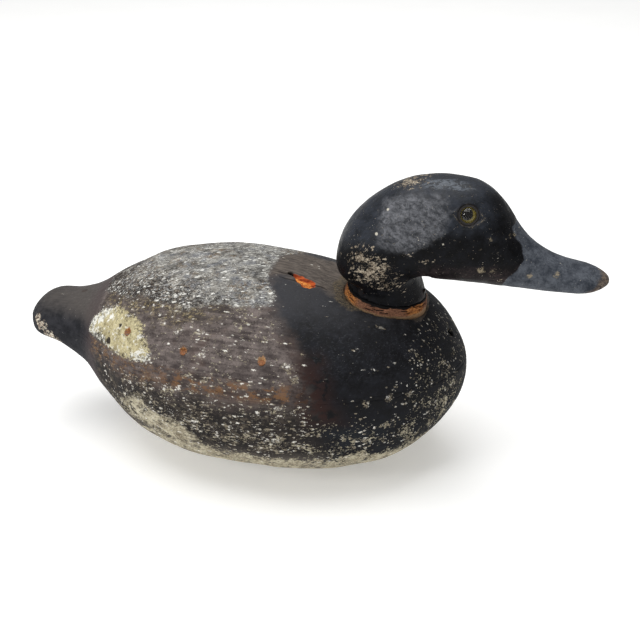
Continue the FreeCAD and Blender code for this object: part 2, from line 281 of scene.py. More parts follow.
class Paint:
    """A material written as plain expressions. Positions are in millimetres."""

    def __init__(self, name):
        self.material = bpy.data.materials.new(name)
        self.material.use_nodes = True
        tree = self.material.node_tree
        self.nodes, self.links = tree.nodes, tree.links
        self.nodes.clear()
        self.surface = self.node("BsdfPrincipled", {})
        self.node("OutputMaterial", {0: self.surface.outputs[0]})
        self.place = self.scaled(self.node("TexCoord", {}).outputs["Object"], (MM, MM, MM))

    def put(self, value, socket):
        if hasattr(value, "links"):
            self.links.new(value, socket)
        else:
            socket.default_value = value

    def node(self, kind, inputs, **settings):
        """A new shader node. inputs holds a value for each socket, by its name or number."""
        node = self.nodes.new("ShaderNode" + kind)
        for name, value in settings.items():
            setattr(node, name, value)
        for socket, value in inputs.items():
            self.put(value, node.inputs[socket])
        return node

    def scaled(self, vector, scale, turn=(0, 0, 0)):
        """A vector turned by some degrees round each axis and scaled."""
        turn = [math.radians(angle) for angle in turn]
        return self.node("Mapping", {"Vector": vector, "Scale": scale, "Rotation": turn}).outputs[0]

    def axes(self):
        """The x, y and z of a place, in millimetres."""
        split = self.node("SeparateXYZ", {0: self.place}).outputs
        return split[0], split[1], split[2]

    def field(self, name):
        """A number that store() kept for each point."""
        return self.node("Attribute", {}, attribute_name=name).outputs["Fac"]

    def clouds(self, where, size, detail, rough, bend=0.0):
        inputs = {"Vector": where, "Scale": 1 / size, "Detail": detail, "Roughness": rough}
        return self.node("TexNoise", {"Distortion": bend, **inputs})

    def stretched(self, vector, stretch):
        """Lengthens features along x by a number, or along each axis by three numbers."""
        along = stretch if isinstance(stretch, tuple) else (stretch, 1, 1)
        return self.scaled(vector, tuple(1 / s for s in along))

    def noise(self, size, detail=4.0, rough=0.6, stretch=1, turn=(0, 0, 0), bend=0.0):
        """Cloudy noise, 0 to 1."""
        where = self.place
        if turn != (0, 0, 0):
            where = self.scaled(where, (1, 1, 1), turn)
        if stretch != 1:
            where = self.stretched(where, stretch)
        return self.clouds(where, size, detail, rough, bend).outputs["Fac"]

    def flecks(self, size, density, stretch=1, turn=(0, 0, 0), fill=0.6):
        """Separate ragged flecks. density, 0 to 1, is the share of places that carry one."""
        wander = self.clouds(self.place, size / 1.1, 4, 0.7)
        shift = self.scaled(wander.outputs["Color"], (1.8 * size,) * 3)
        moved = self.node("VectorMath", {0: self.place, 1: shift}).outputs[0]
        where = self.stretched(self.scaled(moved, (1, 1, 1), turn), stretch)
        cell = self.node("TexVoronoi", {"Vector": where, "Scale": 1 / size})
        pick = self.node("SeparateColor", {0: cell.outputs["Color"]}).outputs
        chosen = self.step(self.add(pick[0], density), 0.99, 1.01)
        reach = self.times(self.times(pick[1], pick[1]), fill)
        frayed = self.swing(wander.outputs["Fac"], 0.9)
        edge = self.math("SUBTRACT", self.add(cell.outputs["Distance"], frayed), reach)
        return self.times(chosen, self.step(edge, 0.07, -0.05))

    def math(self, kind, a, b=0.0):
        return self.node("Math", {0: a, 1: b}, operation=kind).outputs[0]

    add = partialmethod(math, "ADD")
    times = partialmethod(math, "MULTIPLY")
    both = partialmethod(math, "MINIMUM")
    either = partialmethod(math, "MAXIMUM")

    def sum(self, *parts):
        """Adds parts up. A part is a value, or a value with its weight."""
        total = 0.0
        for part in parts:
            total = self.add(total, self.times(*part) if isinstance(part, tuple) else part)
        return total

    def invert(self, a):
        return self.math("SUBTRACT", 1.0, a)

    def step(self, value, low, high):
        """0 where the value is low, 1 where it is high, and smooth between."""
        inputs = {"Value": value, "From Min": low, "From Max": high}
        return self.node("MapRange", inputs, interpolation_type="SMOOTHSTEP").outputs[0]

    def ragged(self, field, noise, reach, soft=0.5):
        """1 inside the field, with an edge broken up by noise over a reach in millimetres."""
        return self.step(self.add(field, self.swing(noise, 2.0 * reach)), -soft, soft)

    def mix(self, a, b, factor):
        """A colour between two colours."""
        return self.node("Mix", {0: factor, 6: a, 7: b}, data_type="RGBA").outputs[2]

    def blend(self, dark, light, factor):
        """A colour between two screen colours."""
        return self.mix(rgb(*dark), rgb(*light), factor)

    def swing(self, noise, amount):
        """Noise that runs to both sides of 0, by half the amount."""
        return self.times(self.add(noise, -0.5), amount)

    def between(self, low, high, factor):
        """A number between two numbers."""
        return self.node("Mix", {0: factor, 2: low, 3: high}).outputs[0]

    def tinted(self, colour, over, mask, strength=1.0):
        """A colour with a screen colour over it."""
        return self.mix(colour, rgb(*over), self.times(mask, strength))

    def shade(self, name, factor):
        """A colour between the dark and the light one of a named pair."""
        return self.blend(*SHADES[name], factor)

    def lay(self, over, mask, strength=1.0):
        """Lays a coat, or a plain screen colour, over the colour so far."""
        over = rgb(*over) if isinstance(over, tuple) else over
        self.colour = self.mix(self.colour, over, self.times(mask, strength))

    def finish(self, colour, rough, height=None, depth=0.2, **extra):
        """Connects the surface. height and depth, in millimetres, make its fine relief."""
        self.put(colour, self.surface.inputs["Base Color"])
        self.put(rough, self.surface.inputs["Roughness"])
        for name, value in extra.items():
            self.put(value, self.surface.inputs[name.replace("_", " ")])
        if height is not None:
            bump = self.node("Bump", {"Height": height, "Distance": depth / MM, "Strength": 1.0})
            self.put(bump.outputs[0], self.surface.inputs["Normal"])
        return self.material


# ---- Body: places of the paint zones and damage ----
GREY_SIDE = ([-92, -79, -61, -45, -26, -5, 20, 36], [8, 24, 35, 42, 47, 46, 42, 37])
BREAST_LINE = ([50, 58, 70, 83, 95, 104, 110, 115, 119], [70, 66, 61, 58, 51, 42, 34, 27, 20])
PATCH = [(-90, 79), (-87, 87), (-82, 93), (-68, 99), (-51, 99), (-45, 97), (-46, 92), (-38, 87), (-37, 83),
         (-41, 79), (-52, 78), (-65, 77), (-76, 77)]
PITS = ((-71, -49, 81, 2.2), (-63, -49, 93, 1.6))
MOTTLED = (-79, -45, 78)
CREAM = [(-62, 46), (-57, 52), (-44, 55), (-31, 50), (-19, 46), (-6, 38), (6, 30), (-25, 33), (-37, 36),
         (-52, 39)]
TAIL_CHIPS = ((-132, -21, 75, 2.5), (-129, -24, 71, 3.5), (-124, -25, 65, 3.5), (-119, -24, 60, 3.0))
GOUGE = ((32.5, -6.0), (43.5, -11.0))
GOUGE_R = (1.4, 4.6)
GOUGE_MIDDLE = (39, -9, 116)
GOUGE_HOLE = (31.6, -6.0, 117.5)
CRACKS = ((45, 57, -9.5, 0.55), (22, 33, -7.0, 0.5), (26, 38, -12.5, 0.4))  # ends in x, y, half width
NAIL_GROUPS_X = (-200, -80, -36, 8, 80, 200)  # between these stands one seam nail on each side
GREY_FRONT, GREY_REAR = 19, -86  # where the grey back ends along x
TAIL_FRONT = -85
BACK_Z = 100  # marks on the back lie above this height
OUTSIDE = -20  # stands for a place well outside a zone
FAR = 99  # stands for a place well away from the neck
HOLLOW = ((-15, 0, 66), (66, 50, 42))  # middle and half sizes
SMEARS = ((46, -67, 89, 2.6), (51, -70, 84, 1.7), (103, -56, 71, 1.6), (91, -63, 69, 1.4),
          (114, -48, 70, 1.6), (-22, -59, 100, 2.6), (-4, -69, 91, 2.0))


def body_fields(p):
    """Distances inside the zones and marks of the body, negative outside them."""
    x, y, z = p.T
    side = np.abs(y)
    blur = fractal(p, 14, 11, 3)
    grey_front = GREY_FRONT + 10 * smooth(12, 32, side)
    grey = np.minimum(grey_front - x + 1.5 * blur, np.interp(x, *GREY_SIDE) - side + 4 * blur)
    grey = np.minimum(grey, x - GREY_REAR + 2 * blur)
    grey = np.where(z > 80, grey, OUTSIDE)
    breast = x - np.interp(z, *BREAST_LINE) + 3 * blur
    tail = TAIL_FRONT - x + 2 * blur
    shoulder = np.minimum(x - grey_front, np.where(y < 0, 13, 30) - side + 5 * blur)
    shoulder = np.where(z > BACK_Z, shoulder, OUTSIDE)
    patch = np.where(y < 0, polygon_field(PATCH, x, z), -30) + 1.3 * blur
    neck_r, neck_h = from_neck(p)
    return {
        "grey": grey,
        "breast": breast,
        "tail": tail,
        "shoulder": shoulder,
        "patch": patch,
        "gouge": gouge_field(p),
        "hole": ball_field(p, GOUGE_HOLE, 2.0),
        "rust": nearest_ball(p, rust_spots()),
        "collar": np.where(neck_h > 0, 25.0 + 7.0 * smooth(86, 64, x) - neck_r, OUTSIDE),
        "pit": nearest_ball(p, PITS),
        "mottled": ball_field(p, MOTTLED, 7.0),
        "cream": polygon_field(CREAM, x, z) + 3.0 * blur,
        "tail_chips": nearest_ball(np.stack([x, -side, z], 1), TAIL_CHIPS),
        "smear": nearest_ball(p, SMEARS),
        "crack": crack_field(p),
    }


def gouge_field(p):
    """Distance inside the gouge, which widens towards the front."""
    x, y, z = p.T
    (ax, ay), (bx, by) = GOUGE
    ex, ey = bx - ax, by - ay
    t = np.clip(((x - ax) * ex + (y - ay) * ey) / (ex**2 + ey**2), 0, 1)
    radius = GOUGE_R[0] + (GOUGE_R[1] - GOUGE_R[0]) * t**0.8
    field = radius - np.hypot(x - ax - t * ex, y - ay - t * ey)
    return np.where(z > BACK_Z, field + 1.1 * noise(p, 3.0, 15), OUTSIDE)


def crack_field(p):
    """Distance inside the short cracks that run along the grain from both ends of the gouge."""
    field = np.full(len(p), float(OUTSIDE))
    for x0, x1, y, width in CRACKS:
        along = np.clip(p[:, 0], x0, x1)
        bend = 0.8 * noise(np.stack([along, along * 0 + y, along * 0], 1), 4, 17)
        ends = width * np.sqrt(np.clip((along - x0) * (x1 - along), 0, None)) / ((x1 - x0) / 2)
        field = np.maximum(field, ends - np.hypot(p[:, 0] - along, p[:, 1] - y - bend))
    return np.where(p[:, 2] > BACK_Z, field, OUTSIDE)


def rust_spots():
    """A ball at the head, or top, of each seam nail that stands on a flank."""
    points = coordinates(frame["nodes"]["seam_nails"].data)
    spots = []
    for rear, front in zip(NAIL_GROUPS_X, NAIL_GROUPS_X[1:]):
        for side in (-1, 1):
            pick = (points[:, 0] > rear) & (points[:, 0] <= front) & (points[:, 1] * side >= 0)
            nail = points[pick]
            if not len(nail):
                continue
            head = nail[nail[:, 2] > nail[:, 2].max() - 1.0].mean(0)
            if abs(head[1]) > 20:
                spots.append((*head, 2.4))
    return spots


def outside_of_body(p):
    """1 on the outside, 0 in the hollow and on the seat under the neck, which keep their shape."""
    egg = egg_distance(p, HOLLOW)
    neck_r, neck_h = from_neck(p)
    seat = (neck_r < 26.5) & (neck_h < 4)
    off_neck = smooth(25.6, 28.0, np.where(neck_h > -1, neck_r, FAR))
    return smooth(1.03, 1.1, egg) * np.where(seat, 0.0, 1.0) * off_neck


def carve_body(obj, seed):
    """Tool marks, raised grain, dents, lost paint, the gouge in the back and the putty patch."""
    mesh = obj.data
    p = coordinates(mesh)
    fields = body_fields(p)
    grain = noise(p / np.array([14, 1, 1]), 1.6, seed + 1)
    lift = 0.4 * noise(p, 34, seed + 2) + 0.22 * noise(p, 15, seed + 3)
    lift += 0.07 * noise(p, 4.0, seed + 4) + 0.05 * grain
    lift += 0.09 * fractal(p, 3.2, seed + 5, 2) * smooth(-2, 4, fields["grey"])
    loss = fractal(p / np.array([2.2, 1, 1]), 7, seed + 6, 4)
    low = smooth(60, 25, p[:, 2]) * smooth(80, 40, p[:, 0])
    lift -= 0.16 * smooth(0.25, 0.4, loss + 0.35 * low)
    lift += 0.3 * smooth(-0.6, 0.6, fields["patch"])
    lift += 0.22 * fractal(p, 3.0, seed + 7, 3) * smooth(-2, 1, fields["patch"])
    torn = noise(p / np.array([5, 1, 1]), 1.5, seed + 8)
    lift -= 2.3 * smooth(-0.6, 2.2, fields["gouge"]) * (1 + 0.3 * torn)
    lift -= 4.5 * smooth(-0.3, 1.2, fields["hole"]) + 0.8 * smooth(-0.3, 0.3, fields["crack"])
    lift -= 1.1 * smooth(-1.0, 2.0, fields["pit"])
    raise_surface(mesh, p, lift * outside_of_body(p))
    store(obj, {"loss": loss, **fields})


# ---- Head: places of the paint zones and damage ----
BILL_LINE = ([128, 136, 140, 146, 153, 158, 163, 168], [158, 162, 166, 169, 167, 163, 161, 176])
# outline in x and z of the painted sheen on the cheek
CHEEK = [(89, 173), (98, 178), (109, 181), (121, 180), (126, 172), (124, 163), (115, 154), (100, 149),
         (88, 154)]
NAPE_WEAR = [(74, 153), (85, 151), (97, 148), (101, 138), (104, 121), (92, 122), (73, 126), (67, 138)]
HEAD_DOTS = ((92, -19, 171, 1.0), (87, -25, 158, 1.0), (125, -26, 156, 0.7))
HEAD_SMEARS = ((163, -10, 159.5, 1.0), (160, -12, 158.5, 0.9), (150, -20, 159, 0.9), (173, -14, 137, 1.4),
               (188, -12, 138, 1.5), (146, -20, 140, 2.0), (153, -19, 139, 1.5))
NAPE_STRIPS = ((107, 148.5, 6, 2.2), (117, 144.5, 7, 2.6))  # x, z, half the length and half the height
JAW_STRIP = (168, 133, 20, 3.0)
WORN_CROWN = ((101, -2, 183), (13, 9, 6))  # middle and half sizes
# where the painted highlight lies on the crown: middle and half sizes
CROWN_SHEEN = ((122, -8, 185), (3.2, 1, 2))
# above this line lies the painted blue-grey sheen of the crown and nape
CROWN_LINE = ([70, 88, 112], [147, 152, 163])
JAW_Z = 141
BILL_TIP_X = 211
EYELID = (8.5, 5.6)  # half the length and half the height of the carved lids
SOCKET_R = 6.4


def head_fields(p):
    """Distances inside the zones and marks of the head, negative outside them."""
    x, _, z = p.T
    blur = fractal(p, 10, 31, 3)
    bill = x - np.interp(z, *BILL_LINE)
    # cheek: where the painted sheen lies on the flat cheek
    cheek = polygon_field(CHEEK, x, z) + 2.0 * blur
    wear = np.clip(polygon_field(NAPE_WEAR, x, z) / 9 + 0.25 * blur, -1, 1)
    for strip in NAPE_STRIPS:
        wear = np.maximum(wear, 0.65 - strip_distance(x, z, strip) + 0.2 * blur)
    wear = np.maximum(wear, 1.2 - egg_distance(p, WORN_CROWN))
    wear = np.maximum(wear, 0.6 - strip_distance(x, z, JAW_STRIP))
    eyes = [middle_of("eye_glass_" + side) for side in ("left", "right")]
    return {
        "bill": bill,
        "cheek": cheek,
        "wear": wear,
        "jaw": np.minimum(JAW_Z - z + 2 * blur, x - 112),
        "socket": nearest_ball(p, [(*eye, SOCKET_R) for eye in eyes]),
        "tip": x - BILL_TIP_X + (136 - z) + 2.5 * blur,
        # crown: where the painted blue-grey sheen lies, on top and at the back of the head
        "crown": np.minimum(z - np.interp(x, *CROWN_LINE), 148 - x) + 4 * blur,
        "lid": lid_field(p, eyes[0]),
        # sheen: where the painted highlight lies on the crown
        "sheen": 4.0 - egg_distance(p, CROWN_SHEEN),
        "dots": nearest_ball(p, HEAD_DOTS),
        "smear": nearest_ball(p, HEAD_SMEARS),
    }


def lid_field(p, eye):
    """1 on the ridges of the carved lids above and below the eyes, 0 away from them."""
    x, y, z = p.T
    half_length, half_height = EYELID
    u = (x - eye[0] - 0.5) / half_length
    v = z - eye[2] + 1.4 * u
    line = half_height * (1 - np.clip(np.abs(u), 0, 1) ** 1.7)
    ridge = np.where(np.abs(u) < 1.15, 1 - np.abs(np.abs(v) - line) / 1.1, 0)
    return np.clip(ridge * (np.abs(y) > 8), 0, 1)


def carve_head(obj, seed):
    """Tool marks, lost paint, the edge of the bill and the ridges of the lids."""
    mesh = obj.data
    p = coordinates(mesh)
    fields = head_fields(p)
    neck_r, neck_h = from_neck(p)
    dowel_hole = np.where(neck_h < 36, np.maximum(neck_r - 6, 0) + 2, FAR)
    outer = smooth(9.9, 11.5, neck_h) * smooth(7.2, 8.4, dowel_hole)
    outer *= smooth(0.5, -1.0, fields["socket"])
    lift = 0.3 * noise(p, 24, seed + 1) + 0.16 * noise(p, 9, seed + 2) + 0.05 * noise(p, 3, seed + 3)
    loss = fractal(p / np.array([1.8, 1, 1]), 5.0, seed + 4, 4)
    lift -= 0.16 * smooth(0.3, 0.45, loss + 0.45 * np.clip(fields["wear"], -1, 1) - 0.1)
    lift -= 0.22 * smooth(-0.8, 0.8, fields["bill"]) * smooth(6.0, 0.0, fields["bill"])
    lift += 0.75 * smooth(0.0, 0.8, fields["lid"]) * smooth(0.6, -0.6, fields["socket"])
    raise_surface(mesh, p, lift * outer)
    store(obj, {"loss": loss, **fields})


# ---- Body paint: one function for each coat ----
# Heights and distances where a coat begins and where it is full, in millimetres.
DARK_Z = (88, 66)
RUBBED_Z = (48, 34)
STREAK_Z = 76.0
STREAK_REACH = (7.0, 1.5)
BREAST_TOP_Z = (106, 120)
TAIL_TOP_Z = (80, 90)
BARE_BOTTOM_Z = (39, 28)
ZONES = {  # the borders of each zone: along which axis, where it begins and where it is full
    "worn": [("x", 60, 30)],
    "streak": [("x", -45, -15), ("x", 68, 52)],
    "scuffs_and_highlight": [("z", 76, 96)],
    "slate": [("z", 62, 48)],
    "rim": [("z", 100, 84), ("z", 52, 66)],
    "grey_rear": [("x", 8, -48)],
    "fringe": [("x", 10, -20), ("x", -86, -72)],
    "clean_breast": [("x", 116, 104), ("z", 56, 66)],
    "clean_flank": [("z", 46, 54)],
    "bare_low": [("z", 66, 44)],
    "bare_front": [("x", 108, 130), ("z", 94, 58)],
    "bare_rear": [("x", 0, -40), ("z", 60, 42)],
    "sparse": [("x", 40, 20)],
    "flecked": [("x", 66, 40), ("z", 76, 62), ("z", 34, 44)],
    "crust_corner": [("z", 90, 82), ("x", -56, -46)],
    "crust_rear": [("x", -64, -80)],
    "ledge": [("z", 82, 74), ("x", -30, -44), ("x", -92, -82)],
    "pale_rust": [("x", 5, 20)],
}


class BodyPaint(Paint):
    """The paint of the body, with the noises and zones that its coats share."""

    def __init__(self):
        super().__init__("body_paint")
        self.fine = self.noise(1.2, 5, 0.7)
        self.mottle = self.noise(7, 5, 0.65)
        self.patchy = self.noise(22, 4, 0.6)
        self.grain = self.noise(1.1, 3, 0.6, stretch=16)
        self.streaks = self.noise(2.6, 4, 0.65, stretch=9)
        self.pepper = self.noise(1.25, 3, 0.8, stretch=1.9)
        slanted = (0, 0, -48)
        self.strokes = self.noise(1.7, 3, 0.7, stretch=4, turn=slanted, bend=0.5)
        self.torn = self.noise(3.2, 5, 0.8, stretch=2.2)
        self.x, _, self.z = self.axes()
        self.breast, self.grey, self.tail = self.field("breast"), self.field("grey"), self.field("tail")
        self.patch = self.field("patch")

    def zone(self, name):
        """1 inside a named zone, fading out over its borders."""
        inside = 1.0
        for axis, begin, full in ZONES[name]:
            inside = self.both(inside, self.step(getattr(self, axis), begin, full))
        return inside


def flank_coat(m):
    """Brown-mauve sides, blacker towards the bottom and rubbed along the underside's edge."""
    side = m.shade("flank", m.step(m.sum((m.mottle, 0.6), (m.streaks, 0.6)), 0.42, 0.8))
    side = m.tinted(side, (40, 35, 34), m.step(m.fine, 0.5, 0.68), 0.75)
    side = m.tinted(side, (94, 76, 68), m.step(m.patchy, 0.5, 0.7), 0.5)
    dark = m.shade("flank_low", m.step(m.sum((m.mottle, 0.5), (m.fine, 0.5)), 0.38, 0.68))
    worn = m.both(m.step(m.torn, 0.5, 0.62), m.zone("worn"))
    dark = m.tinted(dark, (94, 86, 74), worn, 0.6)
    m.colour = m.mix(side, dark, m.times(m.step(m.sum(m.z, (m.patchy, 16)), *DARK_Z), 0.94))
    m.lay(m.shade("rubbed", m.streaks), m.step(m.sum(m.z, (m.mottle, 14)), *RUBBED_Z), 0.7)


def seam_streak(m):
    """An orange-brown streak in a darker band along the seam."""
    near = m.step(m.math("ABSOLUTE", m.add(m.z, -STREAK_Z)), *STREAK_REACH)
    near = m.both(near, m.zone("streak"))
    m.lay((46, 37, 34), near, 0.35)
    broken = m.step(m.sum((m.torn, 0.6), (m.mottle, 0.5)), 0.54, 0.62)
    m.lay((122, 86, 52), m.both(broken, near), 0.66)


def breast_coat(m):
    """Blue-black breast, scuffed at the top, with a red-brown edge low down."""
    breast = m.shade("breast", m.step(m.sum((m.mottle, 0.6), (m.fine, 0.45)), 0.38, 0.75))
    faded = m.step(m.sum(m.z, (m.mottle, 12)), *BREAST_TOP_Z)
    breast = m.tinted(breast, (62, 62, 65), faded, 0.7)
    scuffs = m.noise(1.2, 4, 0.8, stretch=5, turn=(0, 35, 0), bend=0.8)
    scuffs_and_highlight = m.both(m.step(scuffs, 0.54, 0.66), m.zone("scuffs_and_highlight"))
    breast = m.tinted(breast, (68, 70, 75), scuffs_and_highlight, 0.5)
    slate = m.both(m.zone("slate"), m.step(m.patchy, 0.42, 0.56))
    breast = m.tinted(breast, (32, 36, 41), slate, 0.6)
    m.lay(breast, m.ragged(m.add(m.breast, 2.0), m.mottle, 9, 8))
    rim = m.both(m.step(m.breast, -12, 1), m.step(m.breast, 20, 2))
    m.lay((50, 32, 28), m.both(m.both(rim, m.zone("rim")), m.step(m.mottle, 0.36, 0.56)), 0.8)


def shoulder_and_tail_coats(m):
    """Grained brown shoulders, and a tail that is lighter on top and at its root."""
    shoulder = m.shade("shoulder", m.step(m.sum((m.grain, 0.8), (m.mottle, 0.3)), 0.4, 0.72))
    m.lay(shoulder, m.ragged(m.field("shoulder"), m.mottle, 5, 4), 0.85)
    side = m.shade("tail_side", m.step(m.mottle, 0.36, 0.66))
    tail = m.mix(side, m.shade("tail_top", m.grain), m.step(m.sum(m.z, (m.mottle, 8)), *TAIL_TOP_Z))
    tail = m.tinted(tail, (74, 64, 64), m.step(m.tail, 16, 2), 0.6)
    m.lay(tail, m.ragged(m.tail, m.mottle, 4, 3))


def grey_coat(m):
    """Grey back: crossing brush strokes, browner and more broken at the rear, with an ochre fringe."""
    across = m.noise(1.5, 4, 0.75, stretch=2.4, turn=(0, 0, 18), bend=1.2)
    dabs = m.noise(8, 4, 0.7)
    brushed = m.between(m.strokes, across, m.step(m.noise(11, 3), 0.46, 0.56))
    grey = m.shade("grey", m.step(m.sum((brushed, 0.55), (m.fine, 0.35), (dabs, 0.35)), 0.42, 0.78))
    grey = m.tinted(grey, (108, 112, 121), m.step(m.mottle, 0.48, 0.62), 0.45)
    edge = m.step(m.grey, 18, 0)
    rear = m.times(m.zone("grey_rear"), m.step(m.grey, 36, 4))
    lumps = m.swing(m.noise(5, 4, 0.7), 0.3)
    brown_zone = m.either(rear, m.times(m.step(m.noise(17, 2), 0.5, 0.62), 0.8))
    brown = m.both(m.step(m.noise(2.4, 5, 0.8), 0.49, 0.56), brown_zone)
    grey = m.tinted(grey, (104, 84, 58), brown, 0.8)
    gone = m.sum(m.pepper, lumps, (edge, 0.06), (rear, 0.11))
    grey = m.tinted(grey, (42, 38, 37), m.step(gone, 0.6, 0.65), 0.88)
    hatch = m.noise(1.0, 4, 0.85, stretch=3, turn=(0, 0, -20), bend=0.9)
    white_bits = m.sum(hatch, m.swing(dabs, 0.35))
    grey = m.tinted(grey, (226, 225, 218), m.step(white_bits, 0.585, 0.635), 0.9)
    dark_bits = m.sum(m.invert(white_bits), (rear, 0.06), (edge, 0.03))
    grey = m.tinted(grey, (48, 44, 43), m.step(dark_bits, 0.57, 0.62), 0.8)
    share = m.times(m.sum((rear, 0.25), 0.3), 0.6)
    bright = m.flecks(1.1, share, 2.6, (0, 0, -14))
    grey = m.tinted(grey, (234, 233, 226), bright, 0.8)
    fringe = m.both(m.step(m.grey, -13, -3), m.zone("fringe"))
    ochre = m.shade("ochre", m.step(m.noise(1.8, 5, 0.85, stretch=1.6), 0.5, 0.62))
    m.lay(ochre, m.both(fringe, m.step(lumps, -0.06, 0.04)), 0.75)
    m.lay(grey, m.ragged(m.grey, m.fine, 5, 1.2))


def clean_zone(m):
    """Where the paint has held: the upper breast, the tail and the flank next to it."""
    breast = m.both(m.step(m.breast, -6, 4), m.zone("clean_breast"))
    tail = m.ragged(m.add(m.tail, 10.0), m.patchy, 8, 4)
    flank = m.both(m.ragged(m.add(m.tail, 26.0), m.patchy, 8, 6), m.zone("clean_flank"))
    return m.either(m.either(tail, m.times(flank, 0.6)), m.times(breast, 0.9))


def bare_primer(m, clean, off_grey):
    """Cream where the paint is gone, thickest low on the sides. Gives back its mask."""
    bottom = m.step(m.sum(m.z, m.swing(m.patchy, 14)), *BARE_BOTTOM_Z)
    density = m.either(m.times(m.zone("bare_low"), 0.4), m.times(m.zone("bare_front"), 0.36))
    density = m.either(density, m.either(m.times(m.zone("bare_rear"), 0.55), m.times(bottom, 1.25)))
    density = m.either(density, m.times(m.zone("sparse"), 0.1))
    clumps = m.sum((m.field("loss"), 0.1), m.swing(m.noise(9, 3, 0.7), 0.55))
    specks = m.sum(m.pepper, clumps, (density, 0.23), (clean, -0.4))
    mask = m.both(m.step(specks, 0.67, 0.715), off_grey)
    patch = m.ragged(m.field("cream"), m.noise(4, 5, 0.8, stretch=2.5), 10, 2.5)
    kept = m.step(m.sum((m.streaks, 0.5), (m.torn, 0.5)), 0.57, 0.5)
    mask = m.either(mask, m.times(patch, kept))
    m.lay(m.shade("primer", m.step(m.sum((m.fine, 0.6), (m.mottle, 0.4)), 0.36, 0.6)), mask, 0.92)
    return mask


def white_flecks(m, clean, off_grey):
    """Flecks and dashes along the grain, and a few smears. Gives back their mask."""
    clusters = m.step(m.noise(12, 3, 0.7), 0.46, 0.64)
    share = m.times(m.sum((clusters, 0.22), (m.zone("flecked"), 0.26), 0.05), m.invert(clean))
    dash = m.flecks(0.85, share, 3.0, fill=0.85)
    large = m.flecks(1.9, m.times(share, 0.45), 2.6, fill=0.75)
    dash = m.either(dash, m.times(large, m.step(m.fine, 0.42, 0.5)))
    sharp = m.noise(0.8, 3, 0.8, stretch=3.4)
    dash = m.either(dash, m.step(m.sum(sharp, (share, 0.2)), 0.71, 0.745))
    smear = m.ragged(m.field("smear"), m.noise(2.0, 5, 0.85, stretch=2.6), 8.0, 0.4)
    mask = m.both(m.either(dash, m.both(smear, m.step(m.fine, 0.45, 0.51))), off_grey)
    m.lay(m.shade("white", m.step(m.noise(3.5, 4), 0.46, 0.6)), mask, 0.88)
    return mask


def tail_tip_chips(m):
    """Pale chips along the underside of the tail's tip."""
    place = m.ragged(m.field("tail_chips"), m.noise(2.6, 4, 0.8), 6, 0.5)
    chip = m.both(place, m.step(m.noise(1.8, 4, 0.8), 0.44, 0.5))
    m.lay(m.shade("tail_chip", m.step(m.fine, 0.42, 0.56)), chip)


def putty_patch(m):
    """Cream putty with a white crust, dirt and pits, and a brown ledge below. Gives back its mask."""
    patch = m.shade("patch", m.step(m.sum((m.fine, 0.5), (m.mottle, 0.5)), 0.35, 0.65))
    crust = m.both(m.step(m.patch, 8.0, 1.0), m.either(m.zone("crust_rear"), m.zone("crust_corner")))
    crust = m.step(m.sum((crust, 0.16), m.noise(3.0, 5, 0.8)), 0.58, 0.63)
    patch = m.tinted(patch, (224, 223, 214), crust)
    streaked = m.flecks(2.4, m.times(m.step(m.noise(9, 3), 0.46, 0.56), 0.5), 2.2, fill=0.8)
    patch = m.tinted(patch, (232, 231, 224), streaked, 0.75)
    patch = m.tinted(patch, (92, 86, 60), m.step(m.noise(3.2, 5, 0.85), 0.55, 0.585), 0.75)
    crumbs = m.both(m.step(m.patch, 4.5, 0.5), m.step(m.noise(1.9, 5, 0.85), 0.51, 0.55))
    patch = m.tinted(patch, (64, 58, 48), crumbs)
    dirt = m.both(m.ragged(m.field("mottled"), m.mottle, 5, 2), m.step(m.noise(2.0, 5, 0.8), 0.45, 0.53))
    patch = m.tinted(patch, (50, 45, 38), dirt, 0.92)
    mask = m.ragged(m.patch, m.noise(2.0, 5, 0.9), 6.0, 0.4)
    m.lay(patch, mask)
    m.lay(m.shade("pit", m.fine), m.ragged(m.field("pit"), m.noise(1.5, 4, 0.8), 2.4, 0.4))
    ledge = m.both(m.step(m.patch, -16, -5), m.both(m.zone("ledge"), m.step(m.torn, 0.5, 0.56)))
    m.lay(m.shade("ledge", m.step(m.fine, 0.5, 0.6)), m.times(ledge, m.invert(mask)), 0.8)
    return mask


def collar_and_rust(m):
    """Olive-brown dirt round the neck, and rust over the flank's nails, paler at the front."""
    olive = m.shade("olive", m.step(m.fine, 0.4, 0.62))
    m.lay(olive, m.ragged(m.field("collar"), m.mottle, 6.0, 1.5), 0.62)
    rust = m.shade("rust", m.step(m.fine, 0.38, 0.62))
    rust = m.tinted(rust, (172, 136, 98), m.zone("pale_rust"), 0.75)
    m.lay(rust, m.ragged(m.field("rust"), m.noise(1.8, 4, 0.8), 3.0, 0.4))


def raw_gouge(m):
    """Raw orange wood in the gouge, its black hole and the cracks."""
    gouge = m.field("gouge")
    raw = m.shade("raw_wood", m.step(m.noise(1.2, 4, 0.6, stretch=5), 0.35, 0.65))
    raw = m.tinted(raw, (228, 150, 72), m.both(m.step(gouge, 1.2, 2.8), m.step(m.fine, 0.4, 0.56)))
    m.lay(raw, m.step(gouge, -0.25, 0.25))
    black = m.either(m.step(m.field("hole"), -0.3, 0.3), m.step(m.field("crack"), -0.15, 0.25))
    m.lay((14, 11, 10), black)


